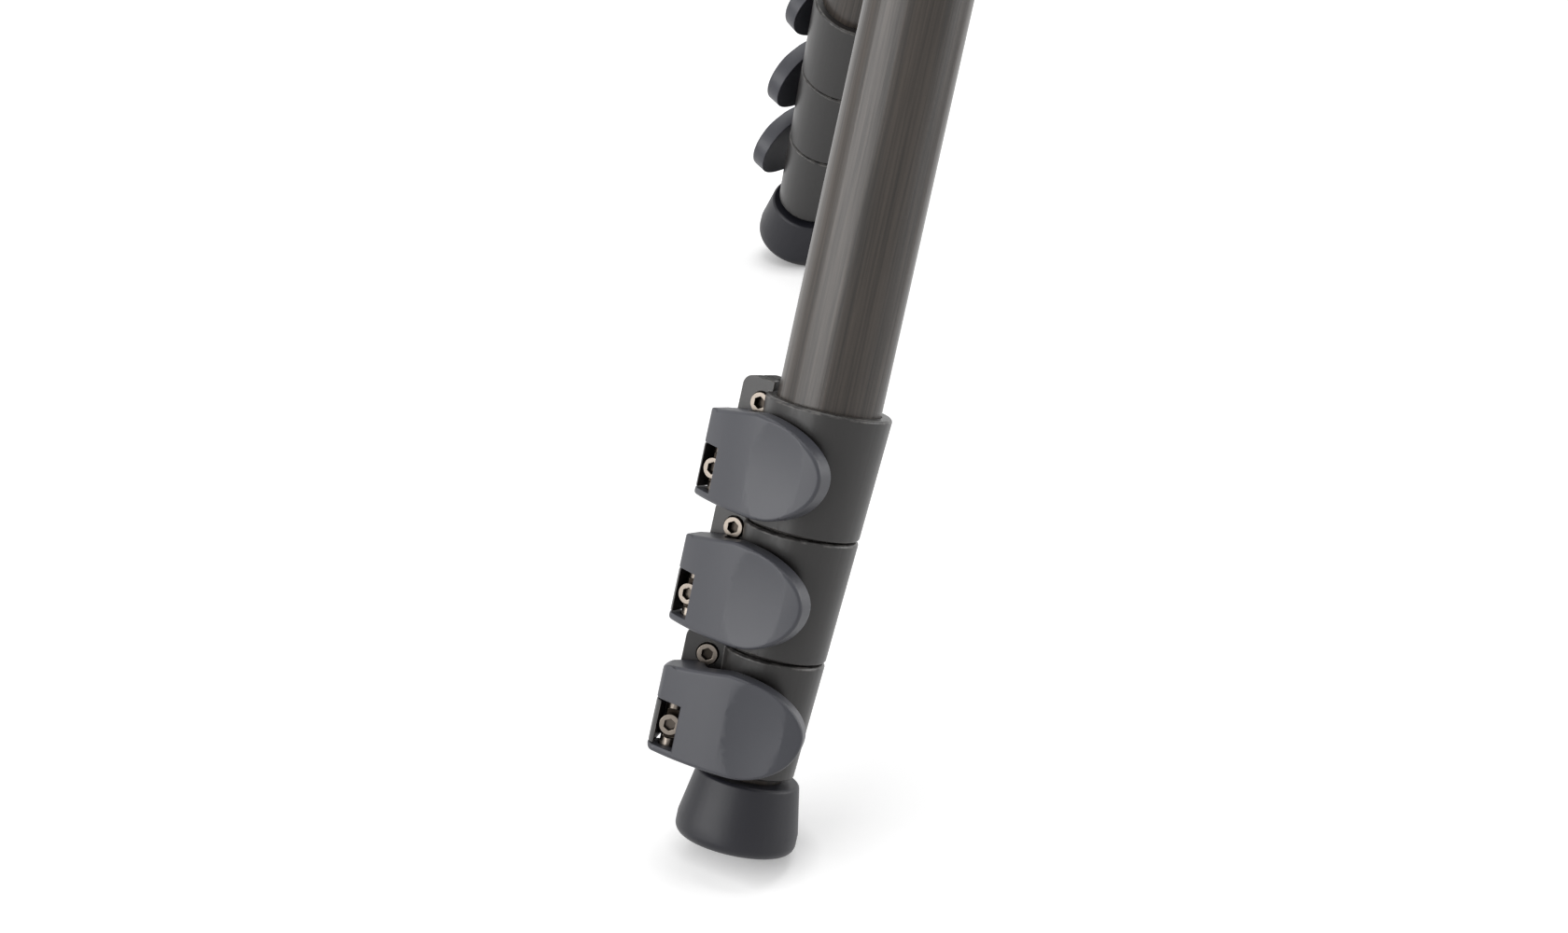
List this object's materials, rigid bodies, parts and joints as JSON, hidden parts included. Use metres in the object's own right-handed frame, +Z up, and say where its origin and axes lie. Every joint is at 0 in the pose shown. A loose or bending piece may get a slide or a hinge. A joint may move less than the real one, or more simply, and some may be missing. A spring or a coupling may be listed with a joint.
{
  "type": "travel tripod",
  "caption": "Compact travel tripod with telescopic round legs held by flip locks, rubber feet, a centre column and a ball head with a quick release plate.",
  "frame": {"origin": "on the floor plane, straight under the centre column's axis", "axes": "+Z up along the centre column; -Y towards the front leg; +X to the right of that leg"},
  "size_m": [0.3742, 0.3313, 0.4804],
  "materials": {
    "carbon_tube": "satin resin over lengthwise dark fibre, warm grey-brown",
    "lock_casting": "satin dark grey, faint grain",
    "lever_grey": "moulded satin blue-grey",
    "fastener_steel": "bright stainless with turning marks",
    "foot_rubber": "matt dark grey rubber",
    "hub_casting": "satin dark grey",
    "head_metal": "dark anodised, turned",
    "ball_metal": "polished grey",
    "knob_rubber": "matt black with ribs"
  },
  "bodies": {
    "hub": {"hub_casting": "hub_casting", "leg_pivot_bolts": "fastener_steel"},
    "column": {"column_tube": "carbon_tube", "column_top_plate": "head_metal"},
    "column_lock": {"column_lock_knob": "knob_rubber"},
    "head": {"head_housing": "head_metal"},
    "ball_lock": {"ball_lock_knob": "knob_rubber"},
    "ball": {"head_ball": "ball_metal", "clamp_body": "head_metal"},
    "clamp_lock": {"clamp_knob": "knob_rubber"},
    "plate": {"camera_plate": "head_metal"},
    "plate_screw": {"camera_screw": "fastener_steel"},
    "front_leg": {"front_leg_yoke": "hub_casting", "front_leg_tube_1": "carbon_tube", "front_leg_lock_collar_1": "lock_casting", "front_leg_lock_fasteners_1": "fastener_steel"},
    "front_section_2": {"front_leg_tube_2": "carbon_tube", "front_leg_lock_collar_2": "lock_casting", "front_leg_lock_fasteners_2": "fastener_steel"},
    "front_section_3": {"front_leg_tube_3": "carbon_tube", "front_leg_lock_collar_3": "lock_casting", "front_leg_lock_fasteners_3": "fastener_steel"},
    "front_section_4": {"front_leg_tube_4": "carbon_tube", "front_leg_foot": "foot_rubber"},
    "front_lever_1": {"front_leg_lock_lever_1": "lever_grey"},
    "front_lever_2": {"front_leg_lock_lever_2": "lever_grey"},
    "front_lever_3": {"front_leg_lock_lever_3": "lever_grey"},
    "front_tab": {"front_leg_angle_tab": "head_metal"},
    "right_leg": {"right_leg_yoke": "hub_casting", "right_leg_tube_1": "carbon_tube", "right_leg_lock_collar_1": "lock_casting", "right_leg_lock_fasteners_1": "fastener_steel"},
    "right_section_2": {"right_leg_tube_2": "carbon_tube", "right_leg_lock_collar_2": "lock_casting", "right_leg_lock_fasteners_2": "fastener_steel"},
    "right_section_3": {"right_leg_tube_3": "carbon_tube", "right_leg_lock_collar_3": "lock_casting", "right_leg_lock_fasteners_3": "fastener_steel"},
    "right_section_4": {"right_leg_tube_4": "carbon_tube", "right_leg_foot": "foot_rubber"},
    "right_lever_1": {"right_leg_lock_lever_1": "lever_grey"},
    "right_lever_2": {"right_leg_lock_lever_2": "lever_grey"},
    "right_lever_3": {"right_leg_lock_lever_3": "lever_grey"},
    "right_tab": {"right_leg_angle_tab": "head_metal"},
    "left_leg": {"left_leg_yoke": "hub_casting", "left_leg_tube_1": "carbon_tube", "left_leg_lock_collar_1": "lock_casting", "left_leg_lock_fasteners_1": "fastener_steel"},
    "left_section_2": {"left_leg_tube_2": "carbon_tube", "left_leg_lock_collar_2": "lock_casting", "left_leg_lock_fasteners_2": "fastener_steel"},
    "left_section_3": {"left_leg_tube_3": "carbon_tube", "left_leg_lock_collar_3": "lock_casting", "left_leg_lock_fasteners_3": "fastener_steel"},
    "left_section_4": {"left_leg_tube_4": "carbon_tube", "left_leg_foot": "foot_rubber"},
    "left_lever_1": {"left_leg_lock_lever_1": "lever_grey"},
    "left_lever_2": {"left_leg_lock_lever_2": "lever_grey"},
    "left_lever_3": {"left_leg_lock_lever_3": "lever_grey"},
    "left_tab": {"left_leg_angle_tab": "head_metal"}
  },
  "joints": [
    {"name": "column_slide", "type": "slide", "parent": "hub", "child": "column", "axis": [0, 0, 1], "range_m": [0, 0.183]},
    {"name": "column_lock_turn", "type": "hinge", "parent": "hub", "child": "column_lock", "pos_m": [0, 0.024, 0.38401], "axis": [0, 1, 0], "range_deg": [0, 360]},
    {"name": "head_pan", "type": "hinge", "parent": "column", "child": "head", "pos_m": [0, 0, 0.40661], "axis": [0, 0, 1], "continuous": true},
    {"name": "ball_lock_turn", "type": "hinge", "parent": "head", "child": "ball_lock", "pos_m": [0, -0.0205, 0.43061], "axis": [0, -1, 0], "range_deg": [0, 360]},
    {"name": "ball_tilt", "type": "hinge", "parent": "head", "child": "ball", "pos_m": [0, 0, 0.43061], "axis": [0, 1, 0], "range_deg": [-28, 90]},
    {"name": "clamp_lock_turn", "type": "hinge", "parent": "ball", "child": "clamp_lock", "pos_m": [0, 0.019, 0.46041], "axis": [0, 1, 0], "range_deg": [0, 360]},
    {"name": "plate_slide", "type": "slide", "parent": "ball", "child": "plate", "axis": [1, 0, 0], "range_m": [-0.012, 0.012]},
    {"name": "plate_screw_turn", "type": "hinge", "parent": "plate", "child": "plate_screw", "pos_m": [0, 0, 0.47541], "axis": [0, 0, 1], "continuous": true},
    {"name": "front_leg_spread", "type": "hinge", "parent": "hub", "child": "front_leg", "pos_m": [0, -0.03, 0.38401], "axis": [-1, 0, 0], "range_deg": [-24, 56]},
    {"name": "front_tab_pull", "type": "slide", "parent": "front_leg", "child": "front_tab", "axis": [0, -0.9135, 0.4067], "range_m": [0, 0.005], "stiffness_N_per_m": 200, "springref_m": -0.003},
    {"name": "front_section_2_slide", "type": "slide", "parent": "front_leg", "child": "front_section_2", "axis": [0, -0.4067, -0.9135], "range_m": [0, 0.245]},
    {"name": "front_section_3_slide", "type": "slide", "parent": "front_section_2", "child": "front_section_3", "axis": [0, -0.4067, -0.9135], "range_m": [0, 0.245]},
    {"name": "front_section_4_slide", "type": "slide", "parent": "front_section_3", "child": "front_section_4", "axis": [0, -0.4067, -0.9135], "range_m": [0, 0.245]},
    {"name": "front_lever_1_open", "type": "hinge", "parent": "front_leg", "child": "front_lever_1", "pos_m": [-0.01939, -0.17043, 0.0945], "axis": [0, -0.4067, -0.9135], "range_deg": [0, 110]},
    {"name": "front_lever_2_open", "type": "hinge", "parent": "front_section_2", "child": "front_lever_2", "pos_m": [-0.01847, -0.18373, 0.06715], "axis": [0, -0.4067, -0.9135], "range_deg": [0, 110]},
    {"name": "front_lever_3_open", "type": "hinge", "parent": "front_section_3", "child": "front_lever_3", "pos_m": [-0.01433, -0.20019, 0.0412], "axis": [0, -0.4067, -0.9135], "range_deg": [0, 110]},
    {"name": "right_leg_spread", "type": "hinge", "parent": "hub", "child": "right_leg", "pos_m": [0.02598, 0.015, 0.38401], "axis": [0.5, -0.866, 0], "range_deg": [-24, 56]},
    {"name": "right_tab_pull", "type": "slide", "parent": "right_leg", "child": "right_tab", "axis": [0.7912, 0.4568, 0.4067], "range_m": [0, 0.005], "stiffness_N_per_m": 200, "springref_m": -0.003},
    {"name": "right_section_2_slide", "type": "slide", "parent": "right_leg", "child": "right_section_2", "axis": [0.3522, 0.2034, -0.9135], "range_m": [0, 0.245]},
    {"name": "right_section_3_slide", "type": "slide", "parent": "right_section_2", "child": "right_section_3", "axis": [0.3522, 0.2034, -0.9135], "range_m": [0, 0.245]},
    {"name": "right_section_4_slide", "type": "slide", "parent": "right_section_3", "child": "right_section_4", "axis": [0.3522, 0.2034, -0.9135], "range_m": [0, 0.245]},
    {"name": "right_lever_1_open", "type": "hinge", "parent": "right_leg", "child": "right_lever_1", "pos_m": [0.15978, 0.07621, 0.0972], "axis": [0.3522, 0.2034, -0.9135], "range_deg": [0, 110]},
    {"name": "right_lever_2_open", "type": "hinge", "parent": "right_section_2", "child": "right_lever_2", "pos_m": [0.17016, 0.08195, 0.0692], "axis": [0.3522, 0.2034, -0.9135], "range_deg": [0, 110]},
    {"name": "right_lever_3_open", "type": "hinge", "parent": "right_section_3", "child": "right_lever_3", "pos_m": [0.18054, 0.08768, 0.0412], "axis": [0.3522, 0.2034, -0.9135], "range_deg": [0, 110]},
    {"name": "left_leg_spread", "type": "hinge", "parent": "hub", "child": "left_leg", "pos_m": [-0.02598, 0.015, 0.38401], "axis": [0.5, 0.866, 0], "range_deg": [-24, 56]},
    {"name": "left_tab_pull", "type": "slide", "parent": "left_leg", "child": "left_tab", "axis": [-0.7912, 0.4568, 0.4067], "range_m": [0, 0.005], "stiffness_N_per_m": 200, "springref_m": -0.003},
    {"name": "left_section_2_slide", "type": "slide", "parent": "left_leg", "child": "left_section_2", "axis": [-0.3522, 0.2034, -0.9135], "range_m": [0, 0.245]},
    {"name": "left_section_3_slide", "type": "slide", "parent": "left_section_2", "child": "left_section_3", "axis": [-0.3522, 0.2034, -0.9135], "range_m": [0, 0.245]},
    {"name": "left_section_4_slide", "type": "slide", "parent": "left_section_3", "child": "left_section_4", "axis": [-0.3522, 0.2034, -0.9135], "range_m": [0, 0.245]},
    {"name": "left_lever_1_open", "type": "hinge", "parent": "left_leg", "child": "left_lever_1", "pos_m": [-0.14168, 0.1016, 0.09587], "axis": [-0.3522, 0.2034, -0.9135], "range_deg": [0, 110]},
    {"name": "left_lever_2_open", "type": "hinge", "parent": "left_section_2", "child": "left_lever_2", "pos_m": [-0.15433, 0.107, 0.06867], "axis": [-0.3522, 0.2034, -0.9135], "range_deg": [0, 110]},
    {"name": "left_lever_3_open", "type": "hinge", "parent": "left_section_3", "child": "left_lever_3", "pos_m": [-0.1645, 0.11307, 0.04067], "axis": [-0.3522, 0.2034, -0.9135], "range_deg": [0, 110]}
  ]
}
